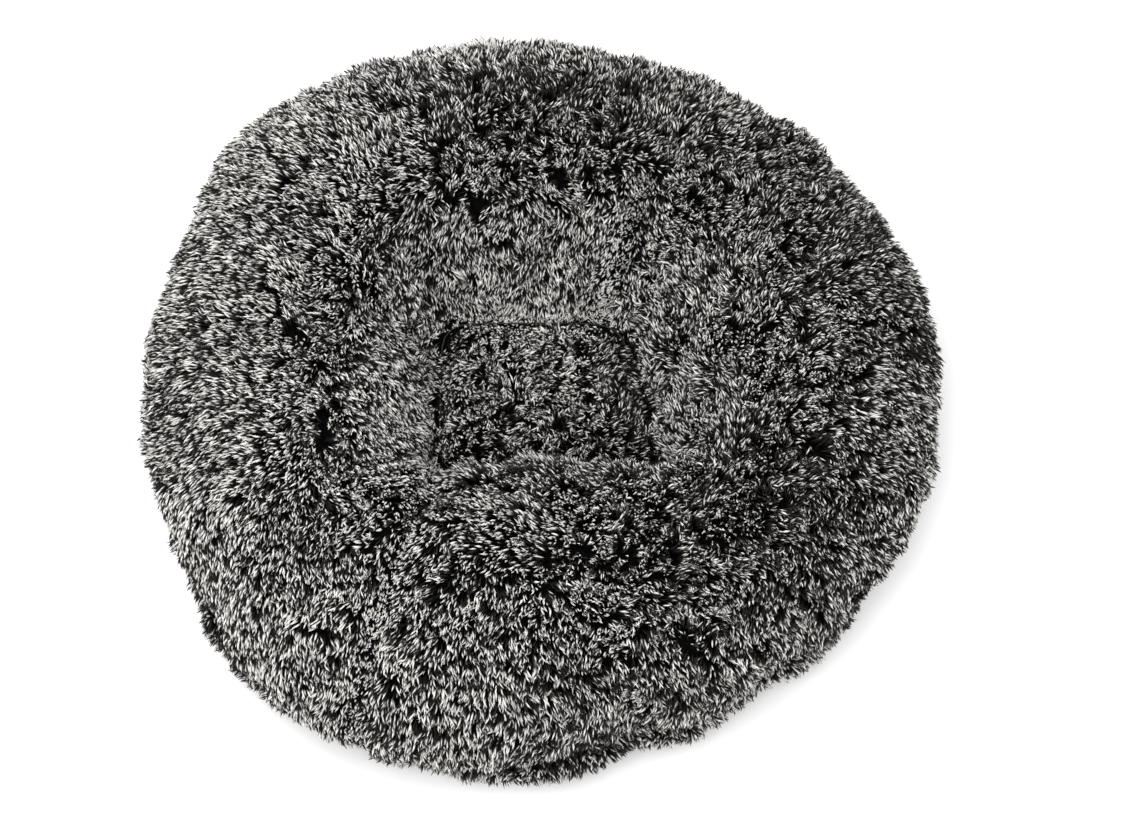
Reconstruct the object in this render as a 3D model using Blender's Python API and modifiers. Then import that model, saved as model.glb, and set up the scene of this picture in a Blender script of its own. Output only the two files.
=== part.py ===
"""A round plush floor cushion for a dog or cat: a stuffed ring round a sewn-down square centre.

Metres, +Z up. The origin is on the floor under the middle of the cushion's outline, and -Y is its front.
Three sewn panels make the casing (top cover, side band, base panel). The top cover and the base panel
are quilted together round a square, which keeps the fibre of the ring apart from the thin centre pad.
"""

import math

import bmesh
import bpy
from mathutils import Vector

# Driving dimensions
OUTLINE_RADIUS = 0.348  # mean plan radius over the lying pile
LOBE = 0.026  # share by which the outline swells in three soft lobes
WAVE = 0.010  # share of the smaller four-fold unevenness
RIDGE_HEIGHT = 0.165  # top of the ring above the floor
RIDGE_PLACE = 0.52  # where the ridge lies, as a share of the way from the square to the outline
STEEP_FAR, STEEP_NEAR = 0.35, 0.90  # how steeply the inner wall leaves the square, at back and front
OVERHANG = 0.040  # share by which the inner wall bulges over the square at the front
SEAM_HEIGHT = 0.064  # the perimeter seam, at the ring's widest
SEAM_PINCH = 0.014  # how far the perimeter seam draws the plush in
SEAM_PINCH_HEIGHT = 0.015
SQUARE_HALF_WIDTH, SQUARE_HALF_DEPTH = 0.087, 0.075  # of the quilted square in the middle
SQUARE_ROUNDING = 7.0  # exponent of the square's outline: 2 is a circle, more is squarer
SQUARE_SLANT = 0.09  # how far the right edge of the square leans out towards the front
SQUARE_CENTRE = Vector((-0.002, 0.014, 0.0))
SQUARE_SEAM_HEIGHT = 0.029  # plush surface at the quilting
STITCH_STRIP = 0.0015  # half width of the flat strip that the quilting presses down
PAD_RISE = 0.026  # how far the centre pad swells above the quilting
PLUSH = 0.012  # plush fabric with its pile lying
BASE_RADIUS_SHARE = 0.78  # the base panel's radius as a share of the outline's
BASE_FABRIC = 0.0025
BASE_LIFT = 0.012  # how far the quilting lifts the base panel off the floor
BASE_LIFT_REACH = 0.075  # the run over which it comes back down
BASE_SQUARE_SHARE = 0.25  # share of the base panel's rows that lie inside the square
THREAD = 0.0006  # thread radius
GAP = 0.0003  # between pieces that touch
SEAM_CLEARANCE = THREAD + 2 * GAP  # each panel's edge stops short of the seam's middle by this
FILL_GAP = 0.007  # between the loose fibre and the casing

# Creases that run out from the square's corners: start, end, depth and half width
CREASES = (
    (Vector((0.070, 0.090, 0)), Vector((0.112, 0.225, 0)), 0.036, 0.019),
    (Vector((-0.086, -0.062, 0)), Vector((-0.150, -0.305, 0)), 0.034, 0.021),
    (Vector((-0.086, 0.090, 0)), Vector((-0.150, 0.180, 0)), 0.020, 0.022),
    (Vector((0.098, -0.062, 0)), Vector((0.175, 0.020, 0)), 0.020, 0.022),
    (Vector((-0.188, 0.035, 0)), Vector((-0.200, -0.200, 0)), 0.009, 0.020),
)

COLUMNS = 72  # divisions round the cushion
PAD_ROWS, RING_ROWS = 5, 16  # divisions from the middle to the quilting, and on to the perimeter
BAND_ROWS = 6
LABEL_ANGLE = math.radians(62)
LABEL_SIZE = Vector((0.034, 0.026, 0.0008))

TURN = 2 * math.pi


def outline_radius(angle):
    """Plan radius of the outline at this angle: a circle with soft lobes, as a stuffed bag takes."""
    lobes = LOBE * math.cos(3 * angle - 0.2) + WAVE * math.cos(4 * angle + 2.2)
    return OUTLINE_RADIUS * (1 + lobes)


def outline_middle():
    """The middle of the outline's box, which is moved to the origin."""
    angles = [TURN * i / 720 for i in range(720)]
    xs = [outline_radius(a) * math.cos(a) for a in angles]
    ys = [outline_radius(a) * math.sin(a) for a in angles]
    return Vector(((max(xs) + min(xs)) / 2, (max(ys) + min(ys)) / 2, 0))


MIDDLE = outline_middle()


def outline_point(angle, inset=0.0):
    radius = outline_radius(angle) - inset
    return Vector((radius * math.cos(angle), radius * math.sin(angle), 0)) - MIDDLE


def square_point(angle, outset=0.0):
    """Plan point of the quilted square's rounded outline at this angle from its centre."""
    c, s = math.cos(angle), math.sin(angle)
    reach = (abs(c) ** SQUARE_ROUNDING + abs(s) ** SQUARE_ROUNDING) ** (-1 / SQUARE_ROUNDING)
    x, y = (SQUARE_HALF_WIDTH + outset) * reach * c, (SQUARE_HALF_DEPTH + outset) * reach * s
    return SQUARE_CENTRE + Vector((x - SQUARE_SLANT * y * (1 + x / SQUARE_HALF_WIDTH), y, 0))


def crease_depth(point):
    """How far the creases from the square's corners lower the plush at a plan point."""
    depth = 0.0
    for start, end, deepest, width in CREASES:
        along = end - start
        share = max(0.0, min(1.0, (point - start).dot(along) / along.length_squared))
        away = (point - start - along * share).length
        depth += deepest * (1 - share) ** 1.2 * math.exp(-((away / width) ** 2))
    return depth


def ridge_height(angle):
    """The ring is fullest at its front left and lowest at its right."""
    return RIDGE_HEIGHT * (1 + 0.022 * math.cos(angle - 4.0) + 0.016 * math.cos(3 * angle + 0.6))


def ring_top(angle, share, inset=0.0):
    """A point of the ring's upper surface, at a share of the way from the quilting over to the seam.

    It is two quarter ellipses that meet at the ridge. inset moves it inwards all round.
    """
    ridge = ridge_height(angle) - inset
    inner = square_point(angle, inset + STITCH_STRIP)
    outer = outline_point(angle, inset)
    if share < 0.5:
        turn = share * math.pi
        near = (0.5 - 0.5 * math.sin(angle)) ** 2
        steep = STEEP_FAR + (STEEP_NEAR - STEEP_FAR) * near
        across = RIDGE_PLACE * (steep * (1 - math.cos(turn)) + (1 - steep) * turn * 2 / math.pi)
        across -= OVERHANG * near * math.sin(2 * turn)
        height = SQUARE_SEAM_HEIGHT + (ridge - SQUARE_SEAM_HEIGHT) * math.sin(turn)
    else:
        turn = (share - 0.5) * math.pi
        across = RIDGE_PLACE + (1 - RIDGE_PLACE) * math.sin(turn)
        height = SEAM_HEIGHT + (ridge - SEAM_HEIGHT) * math.cos(turn)
    point = inner.lerp(outer, across)
    rise = (height - SQUARE_SEAM_HEIGHT) / (ridge - SQUARE_SEAM_HEIGHT)
    lowered = crease_depth(point) * max(0.0, min(1.0, rise * 2)) if across < 0.95 else 0.0
    return Vector((point.x, point.y, height - lowered))


def pinched(point):
    """Draws a point near the perimeter seam inwards, where the stitching pulls the plush."""
    pull = SEAM_PINCH * math.exp(-(((point.z - SEAM_HEIGHT) / SEAM_PINCH_HEIGHT) ** 2))
    plan = Vector((point.x, point.y, 0))
    return point - plan.normalized() * pull if plan.length > 0.25 else point


def pad_top(angle, share):
    """A point of the centre pad's upper surface: a low dome inside the quilted square."""
    point = SQUARE_CENTRE.lerp(square_point(angle, -STITCH_STRIP), share)
    return Vector((point.x, point.y, SQUARE_SEAM_HEIGHT + PAD_RISE * (1 - share**4)))


def base_lift_at(plan, angle):
    """How far the quilting lifts the base panel at a plan point in this direction."""
    away = (Vector((plan.x, plan.y, 0)) - square_point(angle)).length
    return BASE_LIFT * 0.5 * (1 + math.cos(math.pi * min(1.0, away / BASE_LIFT_REACH)))


def base_point(angle, share):
    """A point of the base panel's underside, flat on the floor but lifted where it is quilted."""
    square = square_point(angle)
    if share <= BASE_SQUARE_SHARE:
        plan = SQUARE_CENTRE.lerp(square, share / BASE_SQUARE_SHARE)
        return Vector((plan.x, plan.y, BASE_LIFT))
    edge = outline_point(angle) * BASE_RADIUS_SHARE
    plan = square.lerp(edge, (share - BASE_SQUARE_SHARE) / (1 - BASE_SQUARE_SHARE))
    return Vector((plan.x, plan.y, base_lift_at(plan, angle)))


def band_point(angle, share, inset=0.0):
    """A point of the side band, from just under the perimeter seam round to the base seam."""
    turn = share * math.pi / 2
    outer, inner = outline_point(angle, inset), outline_point(angle) * BASE_RADIUS_SHARE
    plan = inner.lerp(outer, math.cos(turn))
    low = BASE_FABRIC + inset
    return Vector((plan.x, plan.y, SEAM_HEIGHT - (SEAM_HEIGHT - low) * math.sin(turn)))


def new_material(name, colour, roughness):
    material = bpy.data.materials.new(name)
    material.use_nodes = True
    shader = material.node_tree.nodes["Principled BSDF"]
    shader.inputs["Base Color"].default_value = (*colour, 1)
    shader.inputs["Roughness"].default_value = roughness
    shader.inputs["Metallic"].default_value = 0.0
    return material


def mapped_grid(name, columns, rows, place, material, collection):
    """An object made from a flat grid whose vertices are moved by place(angle, share) and then welded."""
    shape = bmesh.new()
    bmesh.ops.create_grid(shape, x_segments=columns, y_segments=rows, size=0.5)
    for vertex in shape.verts:
        vertex.co = place(TURN * (vertex.co.x + 0.5), vertex.co.y + 0.5)
    bmesh.ops.remove_doubles(shape, verts=shape.verts, dist=1e-5)
    bmesh.ops.recalc_face_normals(shape, faces=shape.faces)
    mesh = bpy.data.meshes.new(name)
    shape.to_mesh(mesh)
    shape.free()
    mesh.shade_smooth()
    made = bpy.data.objects.new(name, mesh)
    made.data.materials.append(material)
    collection.objects.link(made)
    return made


def face_up(made):
    """Turns an open sheet's normals so that its middle faces up or outwards."""
    if sum(p.normal.z * p.area for p in made.data.polygons) < 0:
        made.data.flip_normals()


def give_thickness(made, thickness, offset):
    shell = made.modifiers.new("fabric", "SOLIDIFY")
    shell.thickness = thickness
    shell.offset = offset
    shell.use_rim = True


def add_top_cover(material, collection):
    """One round plush panel from the middle of the square over the ridge to the perimeter seam."""
    rows = PAD_ROWS + 1 + RING_ROWS

    def place(angle, share):
        row = round(share * rows)
        if row <= PAD_ROWS:
            return pad_top(angle, row / PAD_ROWS)
        point = pinched(ring_top(angle, (row - PAD_ROWS - 1) / RING_ROWS))
        return point + Vector((0, 0, SEAM_CLEARANCE)) * (row == rows)

    made = mapped_grid("top_cover", COLUMNS, rows, place, material, collection)
    face_up(made)
    give_thickness(made, PLUSH, -1)


def add_side_band(material, collection):
    """The plush below the perimeter seam, which turns under to the base seam."""

    def place(angle, share):
        point = band_point(angle, share)
        return pinched(point) - Vector((0, 0, SEAM_CLEARANCE * (1 - share)))

    made = mapped_grid("side_band", COLUMNS, BAND_ROWS, place, material, collection)
    if sum(p.normal.dot(p.center) for p in made.data.polygons) < 0:
        made.data.flip_normals()
    give_thickness(made, PLUSH, -1)


def add_base_panel(material, collection):
    """The woven base, flat on the floor and lifted where it is quilted to the top cover."""

    made = mapped_grid("base_panel", COLUMNS, 12, base_point, material, collection)
    face_up(made)
    give_thickness(made, BASE_FABRIC, 1)


def add_ring_fill(material, collection):
    """The polyester fibre of the ring: one closed ring inside the casing."""
    inset = PLUSH + FILL_GAP
    under_rows = 5
    rows = RING_ROWS + BAND_ROWS + under_rows

    def place(angle, share):
        row = round(share * rows) % rows
        if row <= RING_ROWS:
            return pinched(ring_top(angle, row / RING_ROWS, inset))
        if row <= RING_ROWS + BAND_ROWS:
            return pinched(band_point(angle, (row - RING_ROWS) / BAND_ROWS, inset))
        inwards = (row - RING_ROWS - BAND_ROWS) / under_rows
        start, end = band_point(angle, 1, inset), ring_top(angle, 0, inset)
        low = BASE_FABRIC + FILL_GAP + (start.z - BASE_FABRIC - FILL_GAP) * (1 - inwards) ** 3
        plan = start.lerp(end, inwards)
        return Vector((plan.x, plan.y, max(low, base_lift_at(plan, angle) + BASE_FABRIC + FILL_GAP)))

    return mapped_grid("ring_fill", COLUMNS, rows, place, material, collection)


def add_centre_fill(material, collection):
    """The thin fibre pad inside the quilted square."""
    floor = BASE_LIFT + BASE_FABRIC + 0.001
    thickness = SQUARE_SEAM_HEIGHT + PAD_RISE - PLUSH - FILL_GAP - floor

    def place(angle, share):
        out = 1 - abs(1 - 2 * share)
        plan = SQUARE_CENTRE.lerp(square_point(angle, -1.4 * PLUSH), out)
        lift = 0.12 + 0.88 * (1 - out**3) if share < 0.5 else 0.12 * out**6
        return Vector((plan.x, plan.y, floor + thickness * lift))

    return mapped_grid("centre_fill", COLUMNS // 2, 12, place, material, collection)


def add_thread(name, points, material, collection):
    """A closed loop of sewing thread through these points."""
    data = bpy.data.curves.new(name, "CURVE")
    data.dimensions = "3D"
    data.bevel_depth = THREAD
    data.bevel_resolution = 1
    spline = data.splines.new("POLY")
    spline.points.add(len(points) - 1)
    for corner, point in zip(spline.points, points):
        corner.co = (*point, 1)
    spline.use_cyclic_u = True
    data.materials.append(material)
    collection.objects.link(bpy.data.objects.new(name, data))


def thread_loop(place):
    return [place(TURN * i / COLUMNS) for i in range(COLUMNS)]


def add_threads(material, collection):
    """The quilting on both faces of the square, and the threads of the perimeter and base seams."""
    above = Vector((0, 0, GAP + THREAD * 2))
    add_thread(
        "quilting_thread_top",
        thread_loop(lambda a: square_point(a) + Vector((0, 0, SQUARE_SEAM_HEIGHT)) + above),
        material,
        collection,
    )
    add_thread(
        "quilting_thread_base",
        thread_loop(lambda a: square_point(a) + Vector((0, 0, BASE_LIFT)) - above),
        material,
        collection,
    )
    add_thread(
        "perimeter_seam_thread",
        thread_loop(lambda a: outline_point(a, SEAM_PINCH + 0.9 * PLUSH) + Vector((0, 0, SEAM_HEIGHT))),
        material,
        collection,
    )
    inner = BASE_RADIUS_SHARE - 0.006 / OUTLINE_RADIUS
    height = BASE_FABRIC + GAP + THREAD * 2
    add_thread(
        "base_seam_thread",
        thread_loop(lambda a: outline_point(a) * inner + Vector((0, 0, height))),
        material,
        collection,
    )


def add_care_label(material, collection):
    """A blank satin label caught in the base seam at the back, lying on the floor under the band."""
    bpy.ops.mesh.primitive_cube_add(size=1)
    made = bpy.context.object
    made.name = "care_label"
    made.data.name = "care_label"
    made.scale = LABEL_SIZE
    bpy.ops.object.transform_apply(location=False, rotation=False, scale=True)
    seam = outline_point(LABEL_ANGLE) * BASE_RADIUS_SHARE
    out = Vector((math.cos(LABEL_ANGLE), math.sin(LABEL_ANGLE), 0))
    made.location = seam + out * (LABEL_SIZE.x / 2 + 0.002) + Vector((0, 0, LABEL_SIZE.z / 2))
    made.rotation_euler = (0, 0, LABEL_ANGLE)
    made.data.materials.append(material)
    for old in list(made.users_collection):
        old.objects.unlink(made)
    collection.objects.link(made)


def main():
    for old in list(bpy.data.objects):
        bpy.data.objects.remove(old)
    collection = bpy.data.collections.new("pet_cushion_bed")
    bpy.context.scene.collection.children.link(collection)
    plush = new_material("plush", (0.16, 0.155, 0.15), 0.9)
    base_cloth = new_material("base_cloth", (0.02, 0.02, 0.022), 0.75)
    fibre = new_material("fibre", (0.85, 0.85, 0.84), 0.95)
    thread = new_material("thread", (0.02, 0.02, 0.02), 0.6)
    satin = new_material("label_satin", (0.8, 0.8, 0.79), 0.4)
    add_top_cover(plush, collection)
    add_side_band(plush, collection)
    add_base_panel(base_cloth, collection)
    add_ring_fill(fibre, collection)
    add_centre_fill(fibre, collection)
    add_threads(thread, collection)
    add_care_label(satin, collection)


main()
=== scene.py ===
"""Looks of the plush pet cushion: simulated casing, combed long pile, seams, base cloth and label.

Metres, +Z up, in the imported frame. The casing's shape repeats the sizes and functions of part.py.
"""

import math

import bpy
import numpy as np
from mathutils import Euler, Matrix, Vector, kdtree, noise


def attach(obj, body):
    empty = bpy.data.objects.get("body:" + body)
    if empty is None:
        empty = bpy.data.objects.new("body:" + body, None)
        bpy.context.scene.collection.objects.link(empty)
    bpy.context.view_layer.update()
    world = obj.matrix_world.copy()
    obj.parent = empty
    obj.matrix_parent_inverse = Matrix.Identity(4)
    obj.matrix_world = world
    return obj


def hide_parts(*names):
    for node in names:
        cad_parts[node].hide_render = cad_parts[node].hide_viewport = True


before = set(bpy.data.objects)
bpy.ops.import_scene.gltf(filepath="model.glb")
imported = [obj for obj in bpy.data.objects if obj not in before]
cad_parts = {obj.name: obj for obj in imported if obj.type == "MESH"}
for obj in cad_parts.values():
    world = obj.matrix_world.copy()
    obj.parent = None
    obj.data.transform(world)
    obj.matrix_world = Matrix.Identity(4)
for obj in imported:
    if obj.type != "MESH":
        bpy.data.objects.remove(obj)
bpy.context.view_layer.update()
RANDOM = np.random.default_rng(41)
noise.seed_set(7)  # unseeded, noise_vector takes its offset from the clock

# Sizes repeated from part.py
OUTLINE_RADIUS, LOBE, WAVE = 0.348, 0.026, 0.010
RIDGE_HEIGHT, RIDGE_PLACE, OVERHANG = 0.165, 0.52, 0.040
BULGE = 0.045  # the near side stands over the pad by this much more in its middle
STEEP_FAR, STEEP_NEAR = 0.35, 0.90  # how steeply the inner wall rises at the back and at the front
SEAM_HEIGHT, SEAM_PINCH, SEAM_PINCH_HEIGHT = 0.064, 0.014, 0.015
SQUARE_HALF_WIDTH, SQUARE_HALF_DEPTH = 0.087, 0.075
SQUARE_ROUNDING, SQUARE_SLANT = 7.0, 0.09
SQUARE_CENTRE = np.array([-0.002, 0.014])
SQUARE_SEAM_HEIGHT, PAD_RISE = 0.029, 0.026
BASE_RADIUS_SHARE, BASE_FABRIC = 0.78, 0.0025
CREASES = (  # start, end, depth, half width
    ((0.054, 0.088), (0.102, 0.208), 0.034, 0.014),
    ((-0.076, -0.070), (-0.146, -0.300), 0.030, 0.014),
    ((-0.086, 0.090), (-0.150, 0.180), 0.010, 0.022),
    ((0.098, -0.062), (0.175, 0.020), 0.020, 0.022),
    ((-0.188, 0.035), (-0.200, -0.200), 0.009, 0.020),
)

# Casing
BACKING_DEPTH = 0.011  # the pile's knitted backing lies this far under the solid's skin
FIBRE_DEPTH = 0.034  # and the fibre filling starts this far under it
FIBRE_FLOOR = 0.018  # the ring's fibre stays this far above the base fabric at its inner edge
PAD_FIBRE_LOW = 0.0195  # height of the underside of the pad's fibre
COLUMNS = 192
PAD_ROWS, RING_ROWS, BAND_ROWS = 14, 56, 16
SEAM_ROW = PAD_ROWS + RING_ROWS
LUMP = 0.0035  # uneven filling: how far the casing stands in or out
LUMP_SIZES = (0.070, 0.032)  # large lumps, and small ones half as high
TURNED = np.array(Euler((0.6, 0.5, 0.7)).to_matrix())  # turns the noise's grid away from the axes

# Cloth simulation
SIM_FRAMES = 18
SIM_ROW_STEP, SIM_COLUMN_STEP = 2, 4  # the net that is simulated takes every such row and column
SIM_CLOSING_RINGS = 4  # rings that close the net under the cushion
SWELL = 0.005  # the simulation starts from a shape this much smaller
SIM_CAP = 0.008  # the furthest that the simulation may move the casing
SEAM_HOLD = 0.9  # how firmly the perimeter seam is held in place

# Pile
LOCK_SPACING = 0.0032
STRANDS_PER_LOCK = 3
STRAND_LENGTH = 0.018
STRAND_WIDTH = 0.0015
STRAND_PLACES = (0.0, 0.52, 0.82, 1.0)  # a strand's root, its two rings and its tip, along its length
RING_WIDTHS = (1.00, 1.05)  # share of the strand's width at its two rings
STRAND_POINTS = 8  # root, three corners at each ring, tip
ROOT_SINK = 0.001  # how far the strands start inside the backing
ROOT_ANGLE, TIP_ANGLE = np.radians(60), np.radians(8)  # rise above the backing where the pile lies
TUFT_SHARE = 0.14  # share of the locks that draw their neighbours into a tuft
SHADE, SHADE_SPREAD = 0.48, 0.28  # the strands' shade, 0 dark to 1 silver: middle and spread
DARK_SHARE, DARK_SHADE = 0.26, 0.1  # share of the strands that stay dark to the tip, and their shade
SHADES = 64  # columns of the pile's shade strip, from dark undercoat to bright silver
FLOOR_GAP, FLOOR_SPREAD = 0.0015, 0.003  # strands stay above the floor by this, and by up to this more
WAVER_SIZE, WAVER = 0.018, 0.011  # how large and how far partings, folds and tones waver
WIDE_SWIRL, FINE_SWIRL = (0.040, 0.26), (0.013, 0.20)  # size and strength of the wander in the lie
# Bare strip outside and inside the square's stitching: everywhere, and added at its far side
GAP_OUTSIDE, GAP_INSIDE = (0.0005, 0.001), (0.001, 0.003)
LEAN_REACH, EDGE_REACH = 0.013, 0.008  # how far the pile leans over the square's stitching, and how far inside it the pad's pile is painted darker, a painted shadow under the leaning pile
OVER_SEAM, UNDER_SEAM = 0.016, 0.006  # how far the pile is shorter above and below the perimeter seam, and painted darker as shade in the seam's groove
OUTER_REACH = 0.26  # pile further out than this belongs to the ring's outside
FOLD_REACH, FOLD_CORE = 0.015, 0.010  # how far a fold turns the pile, and flattens it
BAND_UPRIGHT = 0.55  # the band's pile stands this much more upright, and is painted lighter on the right and darker on the left in step with it
TUFT_ANGLES = (-2.75, -3.09, -0.10, -0.69, 2.64, -2.35)  # stray locks at the perimeter seam
TUFT_TURN, TUFT_HEIGHT = 0.028, 0.012  # a stray lock's reach round the cushion and up

# Comb strokes: plan place, plan direction that the tips point, reach, how upright the pile stands
STROKES = (
    ((-0.30, 0.08), (-1.0, 0.0), 0.06, 0.0),
    ((-0.25, 0.02), (-1.0, 0.0), 0.06, 0.1),
    ((-0.25, -0.07), (-1.0, -0.3), 0.05, 0.1),
    ((-0.28, -0.18), (0.0, -1.0), 0.06, 0.1),
    ((-0.22, -0.22), (0.0, -1.0), 0.06, 0.1),
    ((-0.13, -0.27), (-0.4, -1.0), 0.05, 0.2),
    ((-0.05, -0.28), (0.0, -1.0), 0.06, 0.2),
    ((0.05, -0.30), (0.1, -1.0), 0.06, 0.5),
    ((0.19, -0.21), (0.15, -1.0), 0.06, 0.5),
    ((0.26, -0.15), (0.35, -1.0), 0.05, 0.5),
    ((0.28, -0.03), (0.7, -0.7), 0.06, 0.5),
    ((0.31, 0.03), (0.4, -1.0), 0.05, 0.5),
    ((0.26, 0.15), (0.8, 0.2), 0.06, 0.7),
    ((0.17, 0.20), (0.8, 0.1), 0.06, 0.8),
    ((0.12, 0.10), (0.7, 0.7), 0.04, 0.5),
    ((0.12, -0.02), (0.7, 0.5), 0.04, 0.6),
    ((0.16, -0.10), (0.6, -0.2), 0.05, 0.8),
    ((0.10, -0.18), (0.3, -0.4), 0.06, 0.8),
    ((0.02, -0.12), (-0.6, -0.1), 0.05, 0.5),
    ((-0.04, -0.13), (-1.0, -0.2), 0.04, 0.3),
    ((-0.09, -0.150), (-1.0, -0.8), 0.022, 0.3),
    ((-0.06, -0.125), (-0.9, -1.2), 0.022, 0.3),
    ((-0.02, -0.115), (-0.7, -1.2), 0.025, 0.4),
    ((0.03, -0.115), (-0.5, -1.0), 0.025, 0.5),
    ((0.07, -0.120), (-0.2, -0.8), 0.025, 0.7),
    ((-0.09, -0.16), (-0.7, -0.7), 0.04, 0.3),
    ((-0.17, 0.23), (-0.7, 0.7), 0.06, 0.2),
    ((-0.21, 0.17), (-1.0, 0.1), 0.06, 0.2),
    ((-0.10, 0.28), (-0.5, 0.8), 0.05, 0.5),
    ((0.00, 0.28), (0.0, 1.0), 0.05, 0.6),
    ((0.08, 0.26), (0.3, 1.0), 0.05, 0.6),
    ((-0.08, 0.325), (-0.2, 1.0), 0.035, 0.1),
    ((0.00, 0.330), (0.0, 1.0), 0.035, 0.1),
    ((0.08, 0.320), (0.2, 1.0), 0.035, 0.1),
    ((0.15, 0.290), (0.5, 1.0), 0.035, 0.2),
    ((0.00, 0.20), (0.0, 0.2), 0.06, 0.9),
    ((-0.10, 0.12), (0.1, -1.0), 0.03, 0.2),
    ((-0.05, 0.125), (0.0, -1.0), 0.035, -0.1),
    ((0.05, 0.125), (-0.05, -1.0), 0.035, -0.1),
    ((0.00, 0.105), (0.0, -1.0), 0.030, -0.1),
    ((0.00, 0.150), (0.0, -1.0), 0.035, 0.0),
    ((-0.16, -0.02), (0.0, -1.0), 0.035, 0.2),
    ((-0.15, -0.10), (0.1, -1.0), 0.04, 0.3),
    ((-0.10, -0.03), (0.2, -1.0), 0.03, 0.2),
    ((-0.12, 0.05), (0.3, -0.6), 0.03, 0.5),
    ((0.00, 0.02), (0.2, -0.3), 0.06, 0.6),
)

# Places where the pile parts and shows its dark roots, with painted shade at the square's corners and
# right edge and a painted shadow under the near bolster's overhang: start, end, half width
PARTINGS_AND_PAINTED_SHADE = (
    ((-0.167, 0.012), (-0.165, 0.011), 0.011),
    ((-0.208, 0.016), (-0.202, 0.014), 0.006),
    ((-0.173, -0.006), (-0.175, -0.024), 0.003),
    ((-0.176, -0.036), (-0.175, -0.054), 0.003),
    ((-0.178, -0.064), (-0.180, -0.086), 0.0035),
    # The square's corner pits and right edge: parted pile shows its dark roots, darkened further as
    # painted shade in the recesses
    ((-0.088, 0.084), (-0.082, 0.086), 0.006),
    ((0.080, 0.080), (0.084, 0.074), 0.007),
    ((0.096, -0.030), (0.104, -0.036), 0.008),
    # Along the square's near edge: painted shadow under the near bolster's overhang
    ((-0.088, -0.150), (-0.072, -0.126), 0.005),
    ((-0.066, -0.122), (-0.040, -0.109), 0.005),
    ((-0.030, -0.107), (0.000, -0.106), 0.004),
    ((0.012, -0.106), (0.030, -0.107), 0.004),
    ((0.045, -0.108), (0.074, -0.112), 0.004),
    ((0.088, -0.060), (0.092, -0.066), 0.008),
    ((0.112, -0.252), (0.136, -0.256), 0.008),
    ((0.053, 0.092), (0.078, 0.126), 0.004),
    ((-0.124, 0.235), (-0.112, 0.233), 0.007),
    ((-0.100, 0.230), (-0.092, 0.226), 0.006),
    ((-0.068, 0.256), (-0.058, 0.255), 0.006),
    ((-0.004, 0.242), (0.010, 0.243), 0.008),
    ((0.030, 0.312), (0.040, 0.306), 0.006),
    ((0.084, 0.308), (0.096, 0.300), 0.007),
    ((0.070, 0.254), (0.078, 0.248), 0.007),
    ((-0.050, 0.165), (-0.046, 0.160), 0.005),
    ((0.222, 0.030), (0.226, 0.020), 0.006),
    ((0.215, -0.088), (0.224, -0.092), 0.007),
)

# Where the pile shows more silver (+) or more of its dark roots (-), with painted light and shade among
# them: plan place, reach, how much
PILE_TONES_AND_PAINTED_LIGHT = (
    # Lighter slope and walls in the hollow: lying pile that shows its silver, and painted light against
    # the hollow's shade
    ((-0.06, 0.135), 0.045, 0.12),
    ((0.00, 0.135), 0.045, 0.12),
    ((0.05, 0.130), 0.040, 0.12),
    ((0.10, 0.115), 0.040, 0.10),
    ((-0.122, -0.018), 0.040, 0.10),
    ((0.108, 0.000), 0.030, 0.12),
    # Lighter rims at the back: painted highlight
    ((-0.297, 0.199), 0.050, 0.12),
    ((-0.202, 0.287), 0.050, 0.15),
    ((-0.100, 0.315), 0.035, 0.30),
    ((-0.050, 0.325), 0.035, 0.34),
    ((0.000, 0.328), 0.035, 0.34),
    ((0.050, 0.325), 0.035, 0.30),
    ((0.100, 0.310), 0.035, 0.18),
    # Lighter lower left: lying pile that shows its silver, and painted light from the left
    ((-0.194, -0.240), 0.065, 0.14),
    ((-0.075, -0.301), 0.055, 0.12),
    ((-0.270, -0.110), 0.050, 0.06),
    ((0.200, -0.265), 0.040, 0.12),
    ((-0.110, 0.245), 0.040, -0.10),
    ((-0.030, 0.250), 0.045, -0.12),
    ((0.060, 0.250), 0.045, -0.12),
    ((-0.035, 0.175), 0.035, -0.05),
    # Darker right side: upright pile that shows its roots, and painted shade away from the light
    ((0.216, -0.105), 0.050, -0.10),
    ((0.205, -0.150), 0.045, -0.10),
    ((0.132, -0.184), 0.045, -0.06),
    ((0.050, -0.190), 0.055, 0.08),
    ((0.335, 0.030), 0.035, -0.12),
    ((0.240, 0.130), 0.060, -0.08),
    ((0.200, -0.210), 0.040, -0.05),
    ((0.300, 0.017), 0.060, -0.12),
    ((-0.190, 0.020), 0.035, -0.14),
    ((0.000, 0.108), 0.020, 0.10),
    ((-0.045, 0.108), 0.020, 0.10),
    ((0.040, 0.108), 0.020, 0.10),
    # Painted shade along the square's right edge
    ((0.078, 0.050), 0.014, -0.14),
    ((0.084, 0.010), 0.014, -0.14),
    # Painted highlight on the back rim's crest
    ((-0.020, 0.345), 0.020, 0.10),
    ((-0.190, -0.086), 0.025, -0.16),
    ((-0.206, -0.149), 0.025, -0.16),
    # Painted shadow under the near bolster's overhang, along the square's near edge
    ((-0.080, -0.130), 0.018, -0.20),
    ((-0.050, -0.108), 0.018, -0.22),
    ((-0.015, -0.102), 0.018, -0.22),
    ((0.020, -0.102), 0.018, -0.18),
    ((0.055, -0.108), 0.018, -0.14),
    ((0.000, 0.020), 0.060, 0.06),
)

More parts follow.
